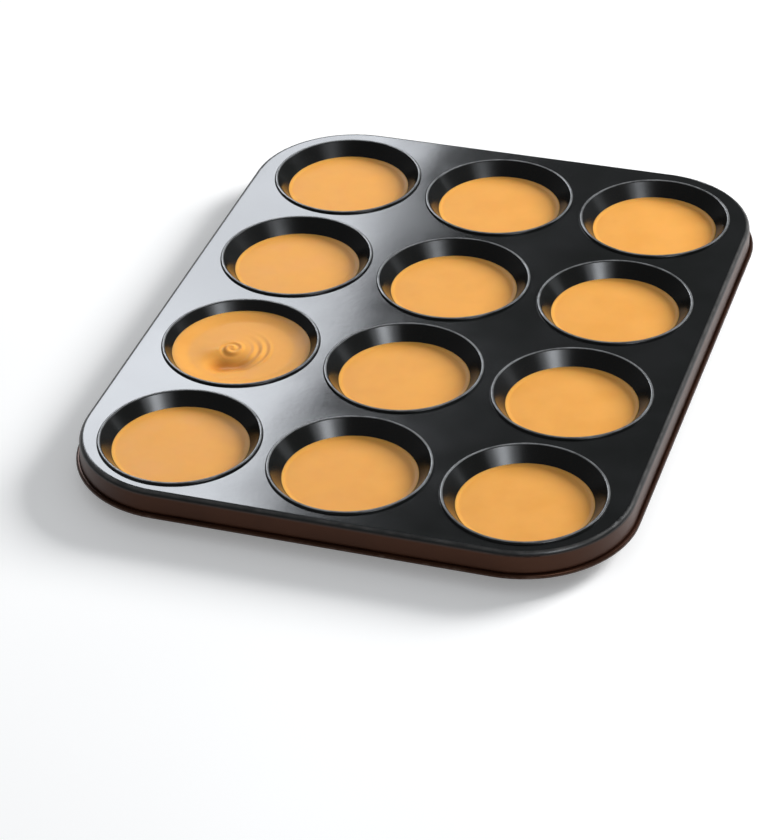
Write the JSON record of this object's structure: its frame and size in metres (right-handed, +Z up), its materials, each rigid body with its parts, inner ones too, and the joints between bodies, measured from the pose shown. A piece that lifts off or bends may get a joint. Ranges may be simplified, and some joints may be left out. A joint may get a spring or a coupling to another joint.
{
  "type": "muffin tin",
  "caption": "Rectangular muffin tin in black coated steel: a flat deck with rounded corners, a rolled edge and a grid of tapered cups, each holding batter.",
  "frame": {"origin": "on the surface the tin stands on, under the middle of its outline", "axes": "+X to the right along the short side, +Y towards the back along the long side, +Z up"},
  "size_m": [0.2694, 0.3464, 0.022],
  "materials": {
    "coated_steel": "glossy black non-stick coating on steel sheet",
    "steel_wire": "plain drawn wire, hidden in the rolled hem",
    "batter": "smooth wet cake batter"
  },
  "bodies": {
    "root": {"top_plate": "coated_steel", "rim_wire": "steel_wire", "cup_row1_left": "coated_steel", "batter_row1_left": "batter", "cup_row1_middle": "coated_steel", "batter_row1_middle": "batter", "cup_row1_right": "coated_steel", "batter_row1_right": "batter", "cup_row2_left": "coated_steel", "batter_row2_left": "batter", "cup_row2_middle": "coated_steel", "batter_row2_middle": "batter", "cup_row2_right": "coated_steel", "batter_row2_right": "batter", "cup_row3_left": "coated_steel", "batter_row3_left": "batter", "cup_row3_middle": "coated_steel", "batter_row3_middle": "batter", "cup_row3_right": "coated_steel", "batter_row3_right": "batter", "cup_row4_left": "coated_steel", "batter_row4_left": "batter", "cup_row4_middle": "coated_steel", "batter_row4_middle": "batter", "cup_row4_right": "coated_steel", "batter_row4_right": "batter"}
  },
  "joints": []
}
